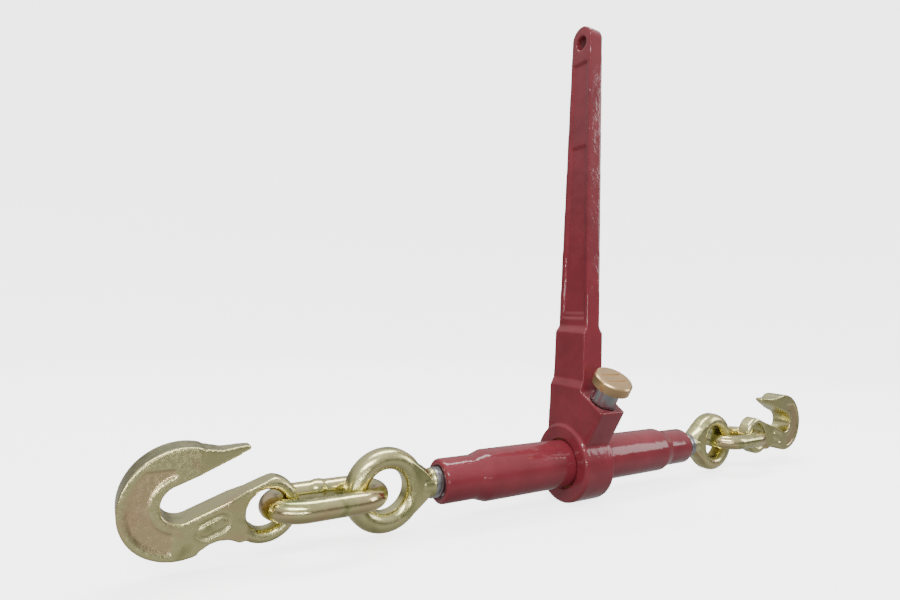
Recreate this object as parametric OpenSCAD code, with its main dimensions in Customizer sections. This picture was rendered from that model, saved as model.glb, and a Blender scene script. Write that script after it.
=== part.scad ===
// Ratchet load binder: a turnbuckle barrel with a ratchet lever, two eye screws, two links and two
// grab hooks. Origin on the barrel axis at mid length, +X along the barrel, +Z up the lever,
// -Y the side the pawl knob leans to. Millimetres.

/* [Barrel] */
// length of the barrel
barrel_len = 250; // [240:1:280]
// radius of the plain middle section
barrel_r = 17.7; // [16:0.1:20]
// radius of the swaged ends
swage_r = 14.8; // [13.5:0.1:16]
// length of each swaged end, without its cone
swage_len = 27; // [24:1:36]
// length of the cone between end and middle
swage_cone = 8; // [4:1:12]
// radius of the smooth bore the stop washers run in
bore_r = 11.2; // [10.8:0.1:12]
// length of the threaded bore at each end
thread_len = 21.7; // [20:0.1:26]

/* [Screws] */
// outside radius of the screw thread
screw_r = 10; // [9:0.5:11]
// distance from the barrel middle to the left eye
eye_x = 162.75; // [160:0.25:170]
// radius of the hole in the eye
eye_hole_r = 13.2; // [12:0.1:15]
// width of the eye's ring, measured in its plane
eye_ring = 12.8; // [10:0.1:14]
// thickness of the eye, across its plane
eye_t = 17; // [15:0.5:20]
// how much further out the right screw stands
right_out = 6.5; // [0:0.5:8]
// radius of the neck between thread and eye
neck_r = 9; // [8:0.1:10]

/* [Lever] */
// offset of the lever from the barrel middle
lever_x = -2.25; // [-6:0.25:0]
// height of the lever tip above the barrel axis
lever_top = 350; // [320:1:380]
// thickness of the lever blade
blade_t = 13.6; // [12:0.1:16]
// thickness of the stem under the blade
stem_t = 20; // [17:0.5:24]
// half width of the blade near its tip
blade_hw = 12; // [10:0.5:14]
// widening of each blade edge per millimetre down
blade_taper = 0.0249; // [0.01:0.001:0.04]
// radius of the hanging hole
hang_r = 5.5; // [4:0.5:7]
// height of the hanging hole
hang_z = 336; // [325:1:345]

/* [Housing] */
// outside radius of the ratchet housing
house_r = 29.5; // [28:0.5:32]
// width of the housing along the barrel
house_w = 30; // [26:1:34]
// radius of the gear pocket
pocket_r = 25.2; // [24.9:0.1:26]
// half width of the pawl boss
boss_hw = 13; // [11:0.5:15]
// height of the boss top along the pawl axis
boss_top = 58; // [54:1:62]
// lean of the pawl axis from upright
pawl_tilt = 30; // [20:1:40]

/* [Ratchet] */
// number of gear teeth
teeth = 12; // [10:1:16]
// outside radius of the gear
gear_r = 24.5; // [23:0.1:25]
// root radius of the gear
root_r = 20.5; // [20:0.1:22]
// width of each gap between teeth
gap_w = 7.2; // [6.8:0.1:8]
// width of the gear along the barrel
gear_w = 14; // [12:0.5:16]
// radius of the pawl tip
tip_r = 3.3; // [3:0.1:3.5]

/* [Knob] */
// radius of the knob disc
knob_r = 14.75; // [12:0.25:17]
// height of the knob top along the pawl axis
knob_top = 80; // [76:1:86]
// thickness of the knob disc
knob_t = 7.5; // [5:0.5:9]
// radius of the knob neck
knob_neck_r = 9.25; // [8:0.25:11]

/* [Links] */
// radius of the link wire
wire_r = 6.4; // [6:0.1:7]
// inside width of the link
link_in = 22; // [21.5:0.5:24]
// distance from the barrel middle to the link bar in the eye
link_x0 = 168.65; // [168:0.05:169.5]
// distance from the barrel middle to the link bar in the hook
link_x1 = 231.45; // [231:0.05:232]

/* [Hooks] */
// distance from the barrel middle to the hook eye
hook_x = 234.85; // [234:0.05:238]
// thickness of the hook body
hook_t = 20; // [17:0.5:23]
// thickness of the hook eye
hook_eye_t = 14; // [12:0.5:14]
// outside radius of the hook eye
hook_eye_r = 18.2; // [17:0.1:19]
// radius of the hole in the hook eye
hook_hole_r = 11; // [10:0.1:12]
// radius of the bend's back
bend_r = 28.4; // [26:0.1:30]
// width of the chain slot
slot_w = 19.3; // [16:0.1:20]
// slope of the chain slot
slot_deg = 20.5; // [15:0.5:25]

/* [Hidden] */
$fn = 96;
fit = 0.05;                     // running fit, on the radius
seat = 0.02;                    // seated fit inside one body, on the radius
half = barrel_len / 2;
hw = house_w / 2;
base_hw = hw - 2;               // half thickness of the lever's base and the boss
wall_x = hw - 7;                // inner face of the housing wall
cover_t = 4.4;
ring_t = 1.7;
bush_r = 19.9;
stem_top = 101;                 // stem to blade step
base_top = 59;                  // housing to stem step
slot_c = [42.7, 10.8];          // chain slot end, from the hook eye
slot_u = [-cos(slot_deg), sin(slot_deg)];
slot_n = [sin(slot_deg), cos(slot_deg)];
guide_r = 8;                    // pawl guide
rod_r = 3.5;                    // pawl rod
guide_s0 = 26.2;
guide_s1 = 36;
cap_s0 = 51.5;
cap_r = 9.5;
enamel = [0.55, 0.05, 0.07];
zinc = [0.78, 0.76, 0.55];
steel = [0.62, 0.62, 0.62];

// a cylinder along X from x0 to x1
module xcyl(r, x0, x1, r2) {
    translate([x0, 0, 0]) rotate([0, 90, 0]) cylinder(r1 = r, r2 = is_undef(r2) ? r : r2, h = x1 - x0);
}
// a (Y, Z) outline run along X
module along_x(x0, x1) { translate([x0, 0, 0]) rotate([90, 0, 90]) linear_extrude(x1 - x0) children(); }
// an (X, Z) outline run across Y, centred
module across_y(t) { translate([0, t / 2, 0]) rotate([90, 0, 0]) linear_extrude(t) children(); }
// frame of the pawl: local z runs out along the pawl axis from the barrel axis
module pawl_frame() { translate([lever_x, 0, 0]) rotate([pawl_tilt, 0, 0]) children(); }
module disc(r, s0, s1) { translate([0, 0, s0]) cylinder(r = r, h = s1 - s0); }
// the right-hand part, mirrored for the left
module side(s) { mirror([s < 0 ? 1 : 0, 0, 0]) children(); }
// the same for what goes with a screw; the right screw stands further out
module end_side(s) { translate([s > 0 ? right_out : 0, 0, 0]) side(s) children(); }

module barrel() color(enamel) {
    rim = 1.6;
    x1 = half - swage_len;
    x0 = x1 - swage_cone;
    difference() {
        rotate([0, 90, 0]) rotate_extrude() polygon([
            [0, -half], [swage_r - rim, -half], [swage_r, -half + rim], [swage_r, -x1], [barrel_r, -x0],
            [barrel_r, x0], [swage_r, x1], [swage_r, half - rim], [swage_r - rim, half], [0, half]]);
        xcyl(screw_r + fit, -half - 1, half + 1);
        xcyl(bore_r, -half + thread_len, half - thread_len);
        for (s = [-1, 1]) side(s) xcyl(screw_r, half - 1.2, half + 0.01, screw_r + 1.4);
        key_block(0);
    }
}

// the gear key, grown by g for its seat
module key_block(g) {
    translate([lever_x, 0, 0]) rotate([285 - 90, 0, 0])
        translate([-gear_w / 2 - g, -2 - g, 15.7 - g]) cube([gear_w + 2 * g, 4 + 2 * g, 3.6 + 2 * g]);
}
module gear_key() color(steel) key_block(0);

module ratchet_gear() color(steel) difference() {
    along_x(lever_x - gear_w / 2, lever_x + gear_w / 2) difference() {
        circle(gear_r);
        circle(barrel_r + seat);
        for (i = [0 : teeth - 1]) rotate(i * 360 / teeth)
            translate([root_r, -gap_w / 2]) square([gear_r, gap_w]);
    }
    key_block(seat);
}

// half width of the lever at height z
function lever_hw(z) = blade_hw + (296 - z) * blade_taper;

module lever_outline() {
    top = lever_top - lever_hw(lever_top - 11);
    r = lever_hw(top);
    polygon([[-lever_hw(20), 20], [lever_hw(20), 20], [r - 0.06, top], [0.06 - r, top]]);
    translate([0, top]) circle(r);
}
module panel_outline(z0, z1, rim) {
    polygon([[-lever_hw(z0) + rim, z0], [lever_hw(z0) - rim, z0],
             [lever_hw(z1) - rim, z1], [-lever_hw(z1) + rim, z1]]);
}
module handle() color(enamel) difference() {
    union() {
        // lever, its thickness stepping down from base to stem to blade
        translate([lever_x, 0, 0]) intersection() {
            along_x(-hw, hw) lever_outline();
            across_y(60) polygon([[-base_hw, 0], [base_hw, 0], [base_hw, base_top], [stem_t / 2, base_top + 6],
                [stem_t / 2, stem_top], [blade_t / 2, stem_top + 5], [blade_t / 2, lever_top],
                [-blade_t / 2, lever_top], [-blade_t / 2, stem_top + 5], [-stem_t / 2, stem_top],
                [-stem_t / 2, base_top + 6], [-base_hw, base_top]]);
        }
        // housing ring
        translate([lever_x, 0, 0]) rotate([0, 90, 0]) rotate_extrude() polygon([
            [0, -hw], [house_r - 1.5, -hw], [house_r, -hw + 1.5], [house_r, hw - 1.5],
            [house_r - 1.5, hw], [0, hw]]);
        // pawl boss
        pawl_frame() intersection() {
            translate([-boss_hw + 0.5, -boss_hw, 0]) cube([2 * boss_hw - 1, 2 * boss_hw, boss_top]);
            disc(17.4, -1, boss_top + 1);
        }
    }
    translate([lever_x, 0, 0]) {
        xcyl(barrel_r + 0.5, -hw - 1, 0);
        xcyl(bush_r + seat, -hw + 1.8, 0);
        xcyl(pocket_r, -wall_x, hw + 1);
        xcyl(pocket_r + 1.4, wall_x + cover_t, wall_x + cover_t + ring_t);
        xcyl(pocket_r, hw - 1, hw + 0.01, pocket_r + 1);
        // blade panels
        for (s = [0, 1]) mirror([s, 0, 0]) {
            along_x(blade_t / 2 - 1.2, blade_t) panel_outline(112, 319, 3.6);
            along_x(blade_t / 2 - 2, blade_t) panel_outline(116, 250, 4.6);
        }
        // hanging hole
        translate([0, 0, hang_z]) xcyl(hang_r, -20, 20);
    }
    // pawl bore and the cap's seat
    pawl_frame() {
        disc(guide_r + fit, 15, boss_top + 1);
        disc(cap_r + seat, cap_s0, boss_top + 1);
    }
}

module housing_cover() color(enamel) translate([lever_x, 0, 0]) difference() {
    xcyl(pocket_r - seat, wall_x, wall_x + cover_t);
    xcyl(barrel_r + 0.5, 0, hw);
    xcyl(bush_r + seat, 0, wall_x + cover_t - 1.2);
}
module cover_snap_ring() color(steel)
    along_x(lever_x + wall_x + cover_t + 0.05, lever_x + wall_x + cover_t + ring_t - 0.05) difference() {
        circle(pocket_r + 1.3);
        circle(pocket_r - 2.4);
        rotate(-60) translate([15, -4]) square([20, 8]);
    }
module bushing(s) color([0.6, 0.45, 0.2]) translate([lever_x, 0, 0]) side(s) difference() {
    union() {
        xcyl(bush_r, wall_x, s < 0 ? hw - 1.9 : wall_x + cover_t - 1.3);
        xcyl(bush_r + 2.6, wall_x - 0.8, wall_x);
    }
    xcyl(barrel_r + fit, 0, hw + 1);
}
module left_bushing() bushing(-1);
module right_bushing() bushing(1);

module pawl() color(steel) pawl_frame() difference() {
    union() {
        intersection() {
            disc(tip_r, root_r + 0.9, guide_s0 + 1);
            // driving face upright, back face slanted
            translate([0, 0, root_r + 0.9]) rotate([90, 0, 90]) translate([0, 0, -5]) linear_extrude(10)
                polygon([[-4, 8], [-4, 0], [-0.6, 0], [4, 3.4], [4, 8]]);
        }
        disc(guide_r, guide_s0, guide_s1);
        disc(rod_r, guide_s1 - 1, knob_top - knob_t - 1.5);
    }
    translate([0, 0, 66]) xcyl(1.5 + seat, -5, 5);
}
module spring_seat() color(steel) pawl_frame() difference() {
    disc(7.7, guide_s1 + 0.1, guide_s1 + 1.3);
    disc(rod_r + fit, guide_s1, guide_s1 + 2);
}
// centre of spring section k, of n to a turn, and its rim points
spring_n = 14;
spring_turns = 5;
spring_s0 = guide_s1 + 2.15;
spring_rise = (cap_s0 - 0.85 - spring_s0) / spring_turns / spring_n;
function spring_rim(k, j) = let (a = k * 360 / spring_n, r = 5.7 + 0.8 * cos(j * 60))
    [r * cos(a), r * sin(a), spring_s0 + k * spring_rise + 0.8 * sin(j * 60)];
module pawl_spring() color(steel) pawl_frame() {
    m = spring_turns * spring_n;
    polyhedron(
        points = [for (k = [0 : m]) for (j = [0 : 5]) spring_rim(k, j)],
        faces = concat(
            [[5, 4, 3, 2, 1, 0]], [[for (j = [0 : 5]) m * 6 + j]],
            [for (k = [0 : m - 1]) for (j = [0 : 5])
                [k * 6 + (j + 1) % 6, (k + 1) * 6 + j, k * 6 + j]],
            [for (k = [0 : m - 1]) for (j = [0 : 5])
                [k * 6 + (j + 1) % 6, (k + 1) * 6 + (j + 1) % 6, (k + 1) * 6 + j]]));
}
module pawl_cap() color(steel) pawl_frame() difference() {
    disc(cap_r, cap_s0, boss_top - 0.1);
    disc(rod_r + fit, cap_s0 - 1, boss_top + 1);
}
module pawl_knob() color(zinc) pawl_frame() difference() {
    union() {
        disc(knob_neck_r, boss_top + 0.3, knob_top - knob_t + 1);
        disc(knob_r, knob_top - knob_t, knob_top - 1);
        translate([0, 0, knob_top - 1]) cylinder(r1 = knob_r, r2 = knob_r - 1, h = 1);
    }
    disc(rod_r + seat, boss_top - 1, knob_top - knob_t - 1.4);
    translate([0, 0, 66]) xcyl(1.5 + seat, -knob_neck_r - 1, knob_neck_r + 1);
    // two plain grooves show which way the pawl faces
    for (y = [-4, 4]) translate([-9, y - 0.6, knob_top - 0.6]) cube([18, 1.2, 1]);
}
module knob_pin() color(steel) pawl_frame()
    translate([0, 0, 66]) xcyl(1.5, -knob_neck_r + 0.2, knob_neck_r - 0.2);

// the right eye screw; the left one is its mirror image, with a left-hand thread
module eye_screw() difference() {
    union() {
        xcyl(7, 5, 9);
        xcyl(screw_r, 8, half + 5.5);
        xcyl(neck_r, half + 5, half + 13);
        intersection() {
            xcyl(neck_r, half + 7.75, half + 22.25, 19);
            translate([half, -eye_t / 2 + 0.4, -20]) cube([23, eye_t - 0.8, 40]);
        }
        translate([eye_x, 0, 0]) rotate([90, 0, 0]) round_ring(eye_hole_r, eye_ring, eye_t);
    }
    xcyl(3 + seat, 4, 21);
    translate([eye_x, 0, 0]) rotate([90, 0, 0]) cylinder(r = eye_hole_r, h = 40, center = true);
}
// a ring about Z with half-round rims: hole radius, width in its plane, thickness
module round_ring(hole_r, width, t) rotate_extrude() translate([hole_r + width / 2, 0]) {
    for (s = [-1, 1]) translate([0, s * (t - width) / 2]) circle(width / 2);
    square([width, t - width], center = true);
}
module left_eye_screw() color(zinc) end_side(-1) eye_screw();
module right_eye_screw() color(zinc) end_side(1) eye_screw();

module stop_washer() difference() { xcyl(bore_r - fit, 5.05, 7.95); xcyl(7 + fit, 4, 9); }
module left_stop_washer() color(steel) end_side(-1) stop_washer();
module right_stop_washer() color(steel) end_side(1) stop_washer();
module stop_bolt() { xcyl(9, 1.5, 5); xcyl(3, 4, 20.5); }
module left_stop_bolt() color(steel) end_side(-1) stop_bolt();
module right_stop_bolt() color(steel) end_side(1) stop_bolt();

module link() {
    r = link_in / 2 + wire_r;
    x0 = link_x0 + r;
    x1 = link_x1 - r;
    translate([x0, 0, 0]) rotate([0, 0, 90]) rotate_extrude(angle = 180) translate([r, 0]) circle(wire_r);
    translate([x1, 0, 0]) rotate([0, 0, -90]) rotate_extrude(angle = 180) translate([r, 0]) circle(wire_r);
    for (s = [-1, 1]) translate([0, s * r, 0]) xcyl(wire_r, x0, x1);
    // weld bead on one bar
    translate([0, r, 0]) {
        xcyl(wire_r, (x0 + x1) / 2 - 4, (x0 + x1) / 2 - 1.5, wire_r + 0.7);
        xcyl(wire_r + 0.7, (x0 + x1) / 2 - 1.5, (x0 + x1) / 2 + 1.5);
        xcyl(wire_r + 0.7, (x0 + x1) / 2 + 1.5, (x0 + x1) / 2 + 4, wire_r);
    }
}
module left_link() color(zinc) end_side(-1) link();
module right_link() color(zinc) end_side(1) link();

// a plan view (X, Y) run over the full height
module plan() { translate([0, 0, -40]) linear_extrude(100) children(); }
module hook() translate([hook_x, 0, 0]) difference() {
    union() {
        rotate([90, 0, 0]) round_ring(hook_hole_r, hook_eye_r - hook_hole_r, hook_eye_t);
        // bend
        across_y(hook_t) intersection() {
            translate(slot_c) circle(bend_r);
            translate([34, -40]) square([60, 90]);
        }
        // point, thinning to its tip
        intersection() {
            across_y(hook_t + 1) polygon([slot_c, [13.8, 32.3], [9.8, 33.8], [9.3, 35.2], [10.5, 36.3],
                [15.3, 36.2], [24.3, 35.4], [35, 37.6], [45, 31]]);
            plan() polygon([[8, 3.4], [37, hook_t / 2], [60, hook_t / 2], [60, -hook_t / 2],
                [37, -hook_t / 2], [8, -3.4]]);
        }
        // shank from the eye to the bend, thickening from the eye
        intersection() {
            across_y(hook_t + 1) polygon([[6, 14], [38, 4], [40, -12], [38, -16.6], [34.2, -15.2],
                [28.8, -12], [24.3, -10.9], [19.2, -11.4], [13.4, -14.6], [5, -14.6]]);
            plan() polygon([[0, 6.4], [9, 6.4], [19, hook_t / 2], [60, hook_t / 2], [60, -hook_t / 2],
                [19, -hook_t / 2], [9, -6.4], [0, -6.4]]);
        }
    }
    across_y(40) {
        circle(hook_hole_r);
        translate(slot_c) circle(slot_w / 2);
        e = (slot_w / 2 - 0.05) * slot_n;
        polygon([slot_c + e, slot_c - e, slot_c - e + 60 * slot_u, slot_c + e + 60 * slot_u]);
    }
    for (s = [-1, 1]) translate([0, s * hook_t / 2, 0]) {
        // crescent pad sunk into each face of the bend
        across_y(1.4) intersection() {
            translate(slot_c) difference() { circle(bend_r - 3.6); circle(14.4); }
            translate([46, -30]) square([40, 59]);
        }
        // oval groove on the shank
        translate([27.5, 0, -3]) rotate([0, slot_deg, 0]) across_y(1.8) rotate(180) difference() {
            oval(8.6, 4.7);
            oval(6.9, 3);
        }
    }
}
// a stadium of half length a and half width r
module oval(a, r) {
    for (s = [-1, 1]) translate([s * (a - r), 0]) circle(r);
    square([2 * (a - r), 2 * r - 0.04], center = true);
}
module left_hook() color(zinc) end_side(-1) hook();
module right_hook() color(zinc) end_side(1) hook();

barrel();
ratchet_gear();
gear_key();
handle();
housing_cover();
cover_snap_ring();
left_bushing();
right_bushing();
pawl();
pawl_spring();
spring_seat();
pawl_cap();
pawl_knob();
knob_pin();
left_eye_screw();
right_eye_screw();
left_stop_washer();
right_stop_washer();
left_stop_bolt();
right_stop_bolt();
left_link();
right_link();
left_hook();
right_hook();
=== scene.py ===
"""A ratchet load binder: forged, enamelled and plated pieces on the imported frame. Metres."""

from math import pi, radians

import bmesh
import bpy
from mathutils import Matrix, Vector


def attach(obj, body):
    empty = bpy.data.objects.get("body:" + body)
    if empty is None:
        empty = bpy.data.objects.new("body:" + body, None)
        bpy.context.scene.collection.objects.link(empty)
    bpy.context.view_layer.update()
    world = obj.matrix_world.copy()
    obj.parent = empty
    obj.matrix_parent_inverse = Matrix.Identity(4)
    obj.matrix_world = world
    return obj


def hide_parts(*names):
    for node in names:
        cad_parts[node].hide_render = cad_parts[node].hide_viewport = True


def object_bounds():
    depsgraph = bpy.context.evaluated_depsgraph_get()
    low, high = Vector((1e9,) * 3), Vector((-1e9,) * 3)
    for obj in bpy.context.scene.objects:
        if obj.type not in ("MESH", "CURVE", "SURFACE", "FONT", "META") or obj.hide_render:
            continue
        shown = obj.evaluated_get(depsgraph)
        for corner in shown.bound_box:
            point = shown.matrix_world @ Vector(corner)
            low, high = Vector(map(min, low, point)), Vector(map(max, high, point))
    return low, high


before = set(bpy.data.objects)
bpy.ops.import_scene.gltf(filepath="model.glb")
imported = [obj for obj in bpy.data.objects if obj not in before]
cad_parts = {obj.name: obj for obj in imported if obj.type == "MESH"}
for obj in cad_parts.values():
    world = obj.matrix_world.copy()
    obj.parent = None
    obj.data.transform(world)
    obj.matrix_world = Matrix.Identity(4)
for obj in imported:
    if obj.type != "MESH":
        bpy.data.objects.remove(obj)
CAD_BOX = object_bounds()

bl_info = {
    "name": "Ratchet load binder",
    "version": (1, 0, 0),
    "blender": (4, 5, 0),
    "location": "View3D > Sidebar > Binder",
    "description": "Builds a ratchet load binder and the stage it stands on",
    "category": "Object",
}

SIDES = {"left": -1, "right": 1}
STANDS_OUT = {"left": 0.0, "right": 0.0065}  # how much further out each screw stands
MM = 0.001
PAWL_FOOT = Vector((-0.00225, 0, 0))  # where the pawl's axis meets the barrel's
PAWL_OUT = Vector((0, -0.5, 0.8660254))  # the way the pawl is pulled


class BinderSizes(bpy.types.PropertyGroup):
    """Sizes a user would change."""

    barrel_radius: bpy.props.FloatProperty(
        name="Barrel radius", description="Radius of the barrel's middle",
        default=0.0177, unit="LENGTH", precision=4)
    swage_radius: bpy.props.FloatProperty(
        name="End radius", description="Radius of the barrel's swaged ends",
        default=0.0148, unit="LENGTH", precision=4)
    thread_radius: bpy.props.FloatProperty(
        name="Thread radius", description="Outside radius of the screw thread",
        default=0.01, unit="LENGTH", precision=4)
    thread_pitch: bpy.props.FloatProperty(
        name="Thread pitch", description="Distance from one thread to the next",
        default=0.004, unit="LENGTH", precision=4)
    grain: bpy.props.FloatProperty(
        name="Forging grain", description="Size of the facets a forged skin is smoothed from",
        default=0.0008, unit="LENGTH", precision=5)


class BinderColours(bpy.types.PropertyGroup):
    """Colours a user would change, as sRGB hex."""

    enamel: bpy.props.StringProperty(
        name="Enamel", description="Red enamel on the barrel and lever", default="7F2D36")
    zinc: bpy.props.StringProperty(
        name="Yellow zinc", description="Plating on the screws and hooks", default="DAD39A")
    zinc_warm: bpy.props.StringProperty(
        name="Warm zinc", description="Peach tint that drifts through the plating", default="E2BE94")
    zinc_green: bpy.props.StringProperty(
        name="Green zinc", description="Olive tint that drifts through the plating", default="8F9560")
    knob: bpy.props.StringProperty(
        name="Knob", description="Plating on the pawl knob", default="DDB98A")
    steel: bpy.props.StringProperty(
        name="Steel", description="Bare machined steel", default="B9BABB")
    spring: bpy.props.StringProperty(
        name="Spring wire", description="Oiled spring wire", default="55575A")
    bronze: bpy.props.StringProperty(
        name="Bronze", description="Sintered bushings", default="A87F4C")
    floor: bpy.props.StringProperty(
        name="Floor", description="Plain pale floor", default="FAFAF9")


def linear(code):
    """An sRGB hex value as linear RGBA."""
    parts = [int(code[i:i + 2], 16) / 255 for i in (0, 2, 4)]
    return tuple(c / 12.92 if c <= 0.04045 else ((c + 0.055) / 1.055) ** 2.4 for c in parts) + (1.0,)


def put(tree, kind, inputs=None, **settings):
    """Adds a node, sets its sockets and settings, and links any socket given another node's output."""
    node = tree.nodes.new(kind)
    for key, value in settings.items():
        setattr(node, key, value)
    for key, value in (inputs or {}).items():
        if isinstance(value, bpy.types.NodeSocket):
            tree.links.new(value, node.inputs[key])
        else:
            node.inputs[key].default_value = value
    return node


def surface(name, **shader):
    """An empty material with one shader on its output, and its Object coordinates."""
    material = bpy.data.materials.new(name)
    material.use_nodes = True
    tree = material.node_tree
    tree.nodes.clear()
    place = put(tree, "ShaderNodeTexCoord").outputs["Object"]
    bsdf = put(tree, "ShaderNodeBsdfPrincipled", shader)
    put(tree, "ShaderNodeOutputMaterial", {"Surface": bsdf.outputs[0]})
    return material, tree, place, bsdf


def per_metre(size_mm):
    """Noise scale that gives features of this real size."""
    return 1 / (size_mm * MM)


def gloss_enamel(code):
    """Baked enamel over forged steel: a deep glossy coat with the shallow orange peel of sprayed paint."""
    material, tree, place, bsdf = surface(
        "gloss_red_enamel", Roughness=0.5, **{"IOR": 1.5, "Specular IOR Level": 0.1, "Coat Weight": 0.85,
                                              "Coat Roughness": 0.07})
    cloud = put(tree, "ShaderNodeTexNoise", {"Vector": place, "Scale": per_metre(22), "Detail": 3.0})
    tint = put(tree, "ShaderNodeValToRGB", {"Fac": cloud.outputs["Fac"]})
    tint.color_ramp.elements[0].position, tint.color_ramp.elements[1].position = 0.3, 0.75
    deep = linear(code)
    tint.color_ramp.elements[0].color = tuple(c * 0.84 for c in deep[:3]) + (1,)
    tint.color_ramp.elements[1].color = tuple(min(c * 1.16, 1) for c in deep[:3]) + (1,)
    tree.links.new(tint.outputs["Color"], bsdf.inputs["Base Color"])
    # orange peel: cells about 2.5 mm across; forging unevenness about 14 mm
    peel = put(tree, "ShaderNodeTexNoise", {"Vector": place, "Scale": per_metre(3), "Detail": 2.0})
    swell = put(tree, "ShaderNodeTexNoise", {"Vector": place, "Scale": per_metre(14), "Detail": 1.0})
    first = put(tree, "ShaderNodeBump", {"Height": swell.outputs["Fac"], "Strength": 0.3, "Distance": 0.0012})
    second = put(tree, "ShaderNodeBump", {"Height": peel.outputs["Fac"], "Strength": 0.3, "Distance": 0.0004,
                                          "Normal": first.outputs["Normal"]})
    tree.links.new(second.outputs["Normal"], bsdf.inputs["Normal"])
    tree.links.new(second.outputs["Normal"], bsdf.inputs["Coat Normal"])
    return material


def yellow_zinc(name, stops, roughness, bump, sunk=None):
    """Chromated zinc plating on steel: metal with a thin yellow film whose tint drifts to green and peach."""
    material, tree, place, bsdf = surface(name, Metallic=1.0, Roughness=roughness)
    drift = put(tree, "ShaderNodeTexNoise", {"Vector": place, "Scale": per_metre(26), "Detail": 3.0,
                                             "Distortion": 0.8})
    tint = put(tree, "ShaderNodeValToRGB", {"Fac": drift.outputs["Fac"]})
    ramp = tint.color_ramp
    while len(ramp.elements) < len(stops):
        ramp.elements.new(0.5)
    for element, (position, code) in zip(ramp.elements, stops):
        element.position, element.color = position, linear(code)
    film = tint.outputs["Color"]
    if sunk:
        # the film pools and dries darker in the marks sunk 0.7 mm into the faces at 10 mm either side
        axes = put(tree, "ShaderNodeSeparateXYZ", {0: place}).outputs
        across = put(tree, "ShaderNodeMath", {0: axes["Y"]}, operation="ABSOLUTE").outputs[0]
        along = put(tree, "ShaderNodeMath", {0: axes["X"]}, operation="ABSOLUTE").outputs[0]
        deep = put(tree, "ShaderNodeMath", {0: across, 1: 9.3 * MM, 2: 0.0004}, operation="COMPARE").outputs[0]
        bend = put(tree, "ShaderNodeMath", {0: along, 1: 0.28}, operation="GREATER_THAN").outputs[0]
        pool = put(tree, "ShaderNodeMath", {0: deep, 1: bend}, operation="MULTIPLY").outputs[0]
        pool = put(tree, "ShaderNodeMath", {0: pool, 1: 0.55}, operation="MULTIPLY").outputs[0]
        film = put(tree, "ShaderNodeMix", {0: pool, 6: film, 7: linear(sunk)}, data_type="RGBA").outputs[2]
    tree.links.new(film, bsdf.inputs["Base Color"])
    # the skin left by forging or drawing, about 2.4 mm grains
    skin = put(tree, "ShaderNodeTexNoise", {"Vector": place, "Scale": per_metre(2.4), "Detail": 2.0})
    worn = put(tree, "ShaderNodeMapRange", {"Value": skin.outputs["Fac"], "From Min": 0.3, "From Max": 0.7,
                                            "To Min": roughness - 0.07, "To Max": roughness + 0.09})
    tree.links.new(worn.outputs["Result"], bsdf.inputs["Roughness"])
    rise = put(tree, "ShaderNodeBump", {"Height": skin.outputs["Fac"], "Strength": bump, "Distance": 0.0003})
    tree.links.new(rise.outputs["Normal"], bsdf.inputs["Normal"])
    return material


def machined(name, code, roughness, grain_mm):
    """Turned or drawn metal: fine marks round the piece that catch the light unevenly."""
    material, tree, place, bsdf = surface(name, Metallic=1.0, Roughness=roughness)
    marks = put(tree, "ShaderNodeTexNoise", {"Vector": place, "Scale": per_metre(grain_mm), "Detail": 5.0})
    tint = put(tree, "ShaderNodeValToRGB", {"Fac": marks.outputs["Fac"]})
    base = linear(code)
    tint.color_ramp.elements[0].color = tuple(c * 0.8 for c in base[:3]) + (1,)
    tint.color_ramp.elements[1].color = tuple(min(c * 1.1, 1) for c in base[:3]) + (1,)
    tree.links.new(tint.outputs["Color"], bsdf.inputs["Base Color"])
    rise = put(tree, "ShaderNodeBump", {"Height": marks.outputs["Fac"], "Strength": 0.2, "Distance": 0.0002})
    tree.links.new(rise.outputs["Normal"], bsdf.inputs["Normal"])
    return material


def plain_floor(code):
    """Matt paper backdrop lit from behind, with only a faint fibre."""
    material, tree, place, bsdf = surface("paper_backdrop", Roughness=0.9)
    fibre = put(tree, "ShaderNodeTexNoise", {"Vector": place, "Scale": per_metre(60), "Detail": 2.0})
    tint = put(tree, "ShaderNodeValToRGB", {"Fac": fibre.outputs["Fac"]})
    pale = linear(code)
    tint.color_ramp.elements[0].color = tuple(c * 0.985 for c in pale[:3]) + (1,)
    tint.color_ramp.elements[1].color = pale
    tree.links.new(tint.outputs["Color"], bsdf.inputs["Base Color"])
    bsdf.inputs["Emission Color"].default_value = (1, 1, 1, 1)
    bsdf.inputs["Emission Strength"].default_value = 3.2
    return material


def finish_material(key):
    """The material for a finish, made once."""
    c = bpy.context.scene.binder_colours
    makers = {
        "enamel": ("gloss_red_enamel", lambda: gloss_enamel(c.enamel)),
        "forged_zinc": ("forged_yellow_zinc", lambda: yellow_zinc(
            "forged_yellow_zinc", [(0.25, c.zinc_green), (0.45, c.zinc), (0.6, c.zinc), (0.8, c.zinc_warm)], 0.25, 0.13,
            c.zinc_warm)),
        "bright_zinc": ("bright_yellow_zinc", lambda: yellow_zinc(
            "bright_yellow_zinc", [(0.3, c.zinc_green), (0.5, c.zinc), (0.75, c.zinc_warm)], 0.18, 0.12)),
        "knob": ("turned_yellow_zinc", lambda: machined("turned_yellow_zinc", c.knob, 0.3, 1.2)),
        "steel": ("machined_steel", lambda: machined("machined_steel", c.steel, 0.3, 0.8)),
        "spring": ("spring_wire", lambda: machined("spring_wire", c.spring, 0.38, 0.8)),
        "bronze": ("sintered_bronze", lambda: machined("sintered_bronze", c.bronze, 0.45, 0.6)),
        "floor": ("paper_backdrop", lambda: plain_floor(c.floor)),
    }
    name, make = makers[key]
    return bpy.data.materials.get(name) or make()


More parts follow.
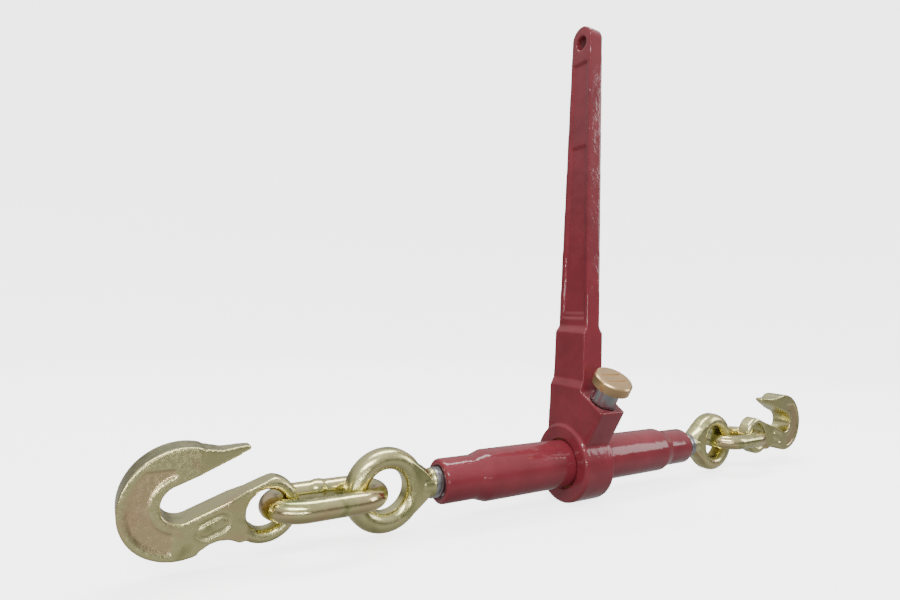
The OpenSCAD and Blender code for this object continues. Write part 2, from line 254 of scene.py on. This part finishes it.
def piece(bm, name, finish, body=None, replaces=(), smooth=True):
    """Turns a bmesh into a finished object that rides on its body."""
    mesh = bpy.data.meshes.new(name)
    for face in bm.faces:
        face.smooth = smooth
    bm.to_mesh(mesh)
    bm.free()
    obj = bpy.data.objects.new(name, mesh)
    bpy.context.scene.collection.objects.link(obj)
    mesh.materials.append(finish_material(finish))
    if body:
        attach(obj, body)
        if replaces:
            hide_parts(*replaces)
    return obj


def lathe(profile, steps=96):
    """Spins a closed (x, r) outline round the X axis."""
    bm = bmesh.new()
    verts = [bm.verts.new((x, r, 0)) for x, r in profile]
    edges = [bm.edges.new((verts[i], verts[(i + 1) % len(verts)])) for i in range(len(verts))]
    bmesh.ops.spin(bm, geom=verts + edges, cent=(0, 0, 0), axis=(1, 0, 0), angle=2 * pi, steps=steps,
                   use_merge=True)
    bmesh.ops.remove_doubles(bm, verts=bm.verts, dist=1e-6)
    bmesh.ops.recalc_face_normals(bm, faces=bm.faces)
    return bm


def node_shape(node):
    """A merged copy of a frame node's mesh."""
    bm = bmesh.new()
    bm.from_mesh(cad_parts[node].data)
    bmesh.ops.remove_doubles(bm, verts=bm.verts, dist=1e-6)
    return bm


def forge(obj, grain, passes):
    """Gives a piece the soft edges and filled corners of a forging."""
    skin = obj.modifiers.new("forged skin", "REMESH")
    skin.mode, skin.voxel_size, skin.use_smooth_shade = "VOXEL", grain, True
    ease = obj.modifiers.new("eased edges", "SMOOTH")
    ease.factor, ease.iterations = 0.5, passes
    return obj


def crisp(obj, width, segments=2):
    """Breaks the sharp edges of a machined piece."""
    edge = obj.modifiers.new("broken edges", "BEVEL")
    edge.width, edge.segments, edge.limit_method, edge.angle_limit = width, segments, "ANGLE", radians(35)
    obj.data.set_sharp_from_angle(angle=radians(35))
    return obj


class BINDER_OT_barrel(bpy.types.Operator):
    """Turn the barrel with its swaged ends"""

    bl_idname = "binder.barrel"
    bl_label = "Barrel"

    def execute(self, context):
        s = context.scene.binder_sizes
        big, small, half = s.barrel_radius, s.swage_radius, 0.125
        rim, bore = 0.0022, s.thread_radius + 0.00005
        right = [(0.0885, big), (0.0900, big - 0.00012), (0.0915, big - 0.0006), (0.0967, small + 0.0006),
                 (0.0982, small + 0.00012), (0.0998, small), (half - rim, small), (half - rim * 0.5, small - rim * 0.13),
                 (half - rim * 0.13, small - rim * 0.5), (half, small - rim), (half, bore + 0.0014),
                 (half - 0.0012, bore), (half - 0.0217, bore), (half - 0.0219, 0.0112)]
        outline = right + [(-x, r) for x, r in reversed(right)]
        bm = lathe(outline, 128)
        piece(bm, "barrel_skin", "enamel", "barrel", ["barrel"])
        return {"FINISHED"}


class BINDER_OT_lever(bpy.types.Operator):
    """Forge the lever with its ratchet housing and pawl boss, and the housing cover"""

    bl_idname = "binder.lever"
    bl_label = "Lever and housing"

    def execute(self, context):
        grain = context.scene.binder_sizes.grain
        bm = node_shape("handle")
        # the pawl's bore is opened a little, so that easing the edges doesn't close it on the pawl
        for vert in bm.verts:
            along = (vert.co - PAWL_FOOT).dot(PAWL_OUT)
            away = vert.co - PAWL_FOOT - along * PAWL_OUT
            if along > 0.014 and 0.0078 < away.length < 0.0083:
                vert.co += away * (0.0088 / away.length - 1)
        skin = piece(bm, "lever_forging", "enamel", "lever", ["handle"])
        forge(skin, grain, 8)
        cover = piece(node_shape("housing_cover"), "cover_plate", "enamel", "lever", ["housing_cover"])
        crisp(cover, 0.0006)
        return {"FINISHED"}


class BINDER_OT_knob(bpy.types.Operator):
    """Turn the pawl knob"""

    bl_idname = "binder.knob"
    bl_label = "Pawl knob"

    def execute(self, context):
        knob = piece(node_shape("pawl_knob"), "pawl_knob_turned", "knob", "pawl", ["pawl_knob"])
        crisp(knob, 0.0006, 3)
        # the neck is left bright under the plated disc
        knob.data.materials.append(finish_material("steel"))
        for face in knob.data.polygons:
            face.material_index = 1 if face.center.dot(PAWL_OUT) < 0.0722 else 0
        return {"FINISHED"}


class BINDER_OT_screws(bpy.types.Operator):
    """Forge both eyes and cut the right-hand and left-hand threads"""

    bl_idname = "binder.screws"
    bl_label = "Eye screws"

    def thread(self, s, name):
        """A thread run as a screw of one tooth outline, trimmed square at both ends."""
        crest, root = s.thread_radius - 0.00003, s.thread_radius - 0.0016
        pitch, turns, per_turn = s.thread_pitch, 33, 40
        bm = bmesh.new()
        tooth = [(0, root), (0.0010, root), (0.0018, crest), (0.0031, crest), (0.0039, root), (pitch, root)]
        verts = [bm.verts.new((0.001 + x, r, 0)) for x, r in tooth]
        edges = [bm.edges.new(pair) for pair in zip(verts, verts[1:])]
        bmesh.ops.spin(bm, geom=verts + edges, cent=(0, 0, 0), axis=(1, 0, 0), angle=2 * pi * turns,
                       dvec=(pitch / per_turn, 0, 0), steps=turns * per_turn)
        bmesh.ops.remove_doubles(bm, verts=bm.verts, dist=2e-6)
        for at, way in ((0.0081, -1), (0.1308, 1)):
            everything = bm.verts[:] + bm.edges[:] + bm.faces[:]
            bmesh.ops.bisect_plane(bm, geom=everything, dist=1e-7, plane_co=(at, 0, 0), plane_no=(way, 0, 0),
                                   clear_outer=True)
            rim = [e for e in bm.edges if e.is_boundary and abs(e.verts[0].co.x - at) < 1e-5
                   and abs(e.verts[1].co.x - at) < 1e-5]
            bmesh.ops.holes_fill(bm, edges=rim, sides=0)
        # the plain journal the stop washer runs on
        bmesh.ops.create_cone(bm, cap_ends=True, segments=48, radius1=0.007, radius2=0.007, depth=0.004,
                              matrix=Matrix.Translation((0.0071, 0, 0)) @ Matrix.Rotation(pi / 2, 4, "Y"))
        bmesh.ops.translate(bm, vec=(STANDS_OUT[name], 0, 0), verts=bm.verts)
        bmesh.ops.scale(bm, vec=(SIDES[name], 1, 1), verts=bm.verts)
        bmesh.ops.recalc_face_normals(bm, faces=bm.faces)
        return bm

    def execute(self, context):
        s = context.scene.binder_sizes
        for name, sign in SIDES.items():
            bm = node_shape(f"{name}_eye_screw")
            everything = bm.verts[:] + bm.edges[:] + bm.faces[:]
            bmesh.ops.bisect_plane(bm, geom=everything, dist=1e-7, plane_co=(sign * (0.13 + STANDS_OUT[name]), 0, 0),
                                   plane_no=(-sign, 0, 0), clear_outer=True)
            bmesh.ops.holes_fill(bm, edges=[e for e in bm.edges if e.is_boundary], sides=0)
            eye = piece(bm, f"{name}_eye_forging", "forged_zinc", f"{name}_screw",
                        [f"{name}_eye_screw"])
            forge(eye, 0.0006, 8)
            cut = piece(self.thread(s, name), f"{name}_thread", "steel", f"{name}_screw")
            cut.data.set_sharp_from_angle(angle=radians(30))
        return {"FINISHED"}


class BINDER_OT_links(bpy.types.Operator):
    """Give the two bent and welded links their plated, eased skins"""

    bl_idname = "binder.links"
    bl_label = "Links"

    def execute(self, context):
        for name in SIDES:
            link = piece(node_shape(f"{name}_link"), f"{name}_link_wire", "bright_zinc", f"{name}_link",
                         [f"{name}_link"])
            forge(link, 0.0006, 5)
        return {"FINISHED"}


class BINDER_OT_hooks(bpy.types.Operator):
    """Forge the two grab hooks"""

    bl_idname = "binder.hooks"
    bl_label = "Grab hooks"

    def execute(self, context):
        for name in SIDES:
            hook = piece(node_shape(f"{name}_hook"), f"{name}_hook_forging", "forged_zinc", f"{name}_hook",
                         [f"{name}_hook"])
            forge(hook, 0.0006, 7)
        return {"FINISHED"}


class BINDER_OT_inner(bpy.types.Operator):
    """Give the ratchet, pawl, spring, bushings and stops their metals"""

    bl_idname = "binder.inner"
    bl_label = "Ratchet and stops"

    def execute(self, context):
        finishes = {"left_bushing": "bronze", "right_bushing": "bronze", "pawl_spring": "spring"}
        skip = {"barrel", "handle", "housing_cover", "pawl_knob"}
        for name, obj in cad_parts.items():
            shown_otherwise = name in skip or name.endswith(("_eye_screw", "_link", "_hook"))
            if not shown_otherwise:
                obj.data.materials.clear()
                obj.data.materials.append(finish_material(finishes.get(name, "steel")))
        return {"FINISHED"}


class BINDER_OT_stage(bpy.types.Operator):
    """Set the floor, lights and camera"""

    bl_idname = "binder.stage"
    bl_label = "Stage"

    def lamp(self, name, place, aim, size, power):
        data = bpy.data.lights.new(name, "AREA")
        data.shape, data.size, data.size_y, data.energy = "RECTANGLE", size[0], size[1], power
        obj = bpy.data.objects.new(name, data)
        bpy.context.scene.collection.objects.link(obj)
        obj.location = place
        obj.rotation_euler = (Vector(aim) - Vector(place)).to_track_quat("-Z", "Y").to_euler()

    def execute(self, context):
        low = CAD_BOX[0].z
        # a round floor that curves up into a wall, so it looks plain from every side
        bm = bmesh.new()
        outline = [(0.0, 0.0), (1.6, 0.0), (2.0, 0.05), (2.35, 0.2), (2.6, 0.5), (2.7, 0.9), (2.7, 3.0)]
        verts = [bm.verts.new((x, 0, z + low - 0.0004)) for x, z in outline]
        edges = [bm.edges.new(pair) for pair in zip(verts, verts[1:])]
        bmesh.ops.spin(bm, geom=verts + edges, cent=(0, 0, 0), axis=(0, 0, 1), angle=2 * pi, steps=96, use_merge=True)
        bmesh.ops.remove_doubles(bm, verts=bm.verts, dist=1e-5)
        bmesh.ops.recalc_face_normals(bm, faces=bm.faces)
        bmesh.ops.reverse_faces(bm, faces=bm.faces)
        backdrop = piece(bm, "backdrop", "floor")
        # the sky lights the binder, so the glowing paper must not wash the colours out
        backdrop.visible_glossy = backdrop.visible_diffuse = False
        world = bpy.data.worlds.new("studio")
        context.scene.world = world
        world.use_nodes = True
        # a soft box overhead, a dim horizon for the metals to reflect, and a pale floor below
        tree = world.node_tree
        height = put(tree, "ShaderNodeSeparateXYZ", {0: put(tree, "ShaderNodeTexCoord").outputs["Generated"]})
        sky = put(tree, "ShaderNodeMapRange", {"Value": height.outputs["Z"], "From Min": -1.0, "From Max": 1.0})
        ramp = put(tree, "ShaderNodeValToRGB", {"Fac": sky.outputs["Result"]})
        stops = ramp.color_ramp.elements
        while len(stops) < 6:
            stops.new(0.5)
        levels = ((0.0, 0.3), (0.3, 0.6), (0.43, 0.34), (0.54, 0.16), (0.64, 0.6), (1.0, 1.0))
        for stop, (at, level) in zip(stops, levels):
            stop.position, stop.color = at, (level, level, level, 1)
        tree.links.new(ramp.outputs["Color"], tree.nodes["Background"].inputs[0])
        tree.nodes["Background"].inputs[1].default_value = 0.9
        self.lamp("key_light", (-0.9, -1.1, 1.3), (0, 0, 0.05), (1.3, 0.25), 22)
        self.lamp("strip_light", (-0.86, -1.14, 0.16), (0, 0, 0.05), (1.5, 0.03), 5)
        self.lamp("low_strip", (-0.55, -0.75, 0.0), (0, 0, 0.0), (1.2, 0.015), 0.5)
        self.lamp("fill_light", (1.2, -0.8, 0.6), (0, 0, 0.05), (0.5, 0.7), 5)
        self.lamp("top_light", (0.1, 0.3, 1.5), (0, 0, 0), (1.4, 0.35), 18)
        camera = bpy.data.cameras.new("camera")
        camera.sensor_width, camera.lens = 36, 23.156
        camera.shift_x, camera.shift_y = -0.0521, -0.0242
        camera.clip_start = 0.01
        obj = bpy.data.objects.new("camera", camera)
        context.scene.collection.objects.link(obj)
        ahead = Vector((0.5619719, 0.82500342, 0.05964007))
        side = Vector((0.82456167, -0.5644575, 0.03854589))
        up = Vector((-0.06546478, -0.0275152, 0.99747545))
        turn = Matrix((side, up, -ahead)).transposed().to_4x4()
        obj.matrix_world = Matrix.Translation((-0.31845, -0.3454, 0.1140)) @ turn
        context.scene.camera = obj
        return {"FINISHED"}


class BINDER_PT_panel(bpy.types.Panel):
    """Lists the build steps and the sizes and colours"""

    bl_label = "Load binder"
    bl_idname = "BINDER_PT_panel"
    bl_space_type = "VIEW_3D"
    bl_region_type = "UI"
    bl_category = "Binder"

    def draw(self, context):
        column = self.layout.column()
        for step in STEPS:
            column.operator(step.bl_idname)
        for group in (context.scene.binder_sizes, context.scene.binder_colours):
            for key in group.__annotations__:
                column.prop(group, key)


STEPS = (BINDER_OT_barrel, BINDER_OT_lever, BINDER_OT_knob, BINDER_OT_screws, BINDER_OT_links, BINDER_OT_hooks,
         BINDER_OT_inner, BINDER_OT_stage)
CLASSES = (BinderSizes, BinderColours) + STEPS + (BINDER_PT_panel,)


def register():
    for cls in CLASSES:
        bpy.utils.register_class(cls)
    bpy.types.Scene.binder_sizes = bpy.props.PointerProperty(type=BinderSizes)
    bpy.types.Scene.binder_colours = bpy.props.PointerProperty(type=BinderColours)


def unregister():
    del bpy.types.Scene.binder_colours, bpy.types.Scene.binder_sizes
    for cls in reversed(CLASSES):
        bpy.utils.unregister_class(cls)


def main():
    register()
    bpy.ops.binder.barrel()
    bpy.ops.binder.lever()
    bpy.ops.binder.knob()
    bpy.ops.binder.screws()
    bpy.ops.binder.links()
    bpy.ops.binder.hooks()
    bpy.ops.binder.inner()
    bpy.ops.binder.stage()


if __name__ == "__main__":
    main()
